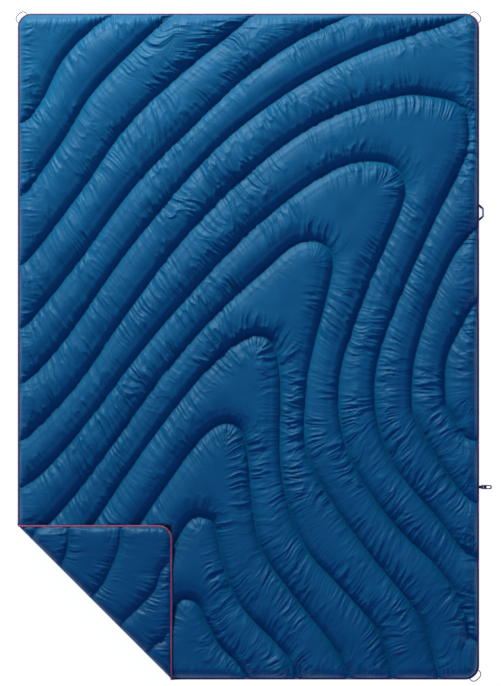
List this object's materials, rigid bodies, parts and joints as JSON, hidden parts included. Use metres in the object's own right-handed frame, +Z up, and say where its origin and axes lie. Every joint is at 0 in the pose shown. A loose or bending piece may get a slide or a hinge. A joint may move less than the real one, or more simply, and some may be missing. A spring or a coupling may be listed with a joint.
{
  "type": "quilted camp blanket",
  "caption": "Puffy quilted blanket with peaked sewn channels, piped edge, one corner folded over, cord loops at the corners, and a side loop and clip.",
  "frame": {"origin": "middle of the base of the whole object, clip included", "axes": "+X across the blanket to its right edge, +Y along it towards the end away from the folded corner, +Z up off the ground"},
  "size_m": [1.3621, 1.9176, 0.057],
  "materials": {
    "face_fabric": "satin",
    "back_fabric": "satin",
    "fill": "matte",
    "binding": "matte",
    "cord": "matte",
    "webbing": "matte",
    "clip_plastic": "matte",
    "pin_metal": "satin"
  },
  "bodies": {
    "blanket": {"face_shell": "face_fabric", "fill_batting": "fill", "back_shell": "back_fabric", "edge_binding": "binding", "cord_loop_upper_left": "cord", "cord_loop_upper_right": "cord", "cord_loop_lower_right": "cord", "clip_tape": "webbing"},
    "folded_corner": {"face_shell_corner": "face_fabric", "fill_batting_corner": "fill", "back_shell_corner": "back_fabric", "edge_binding_corner": "binding", "cord_loop_folded_corner": "cord"},
    "side_loop": {"side_loop": "webbing"},
    "clip": {"clip_body": "clip_plastic", "clip_pin": "pin_metal"}
  },
  "joints": [
    {"name": "corner_fold", "type": "hinge", "parent": "blanket", "child": "folded_corner", "pos_m": [-0.678, -0.5095, 0.0285], "axis": [0.7071, -0.7071, 0], "range_deg": [0, 180]},
    {"name": "side_loop_flop", "type": "hinge", "parent": "blanket", "child": "side_loop", "pos_m": [0.6433, 0.383, 0.014], "axis": [0, -1, 0], "range_deg": [-40, 90]},
    {"name": "clip_swing", "type": "hinge", "parent": "blanket", "child": "clip", "pos_m": [0.651, -0.402, 0.014], "axis": [0, -1, 0], "range_deg": [-20, 100]}
  ]
}
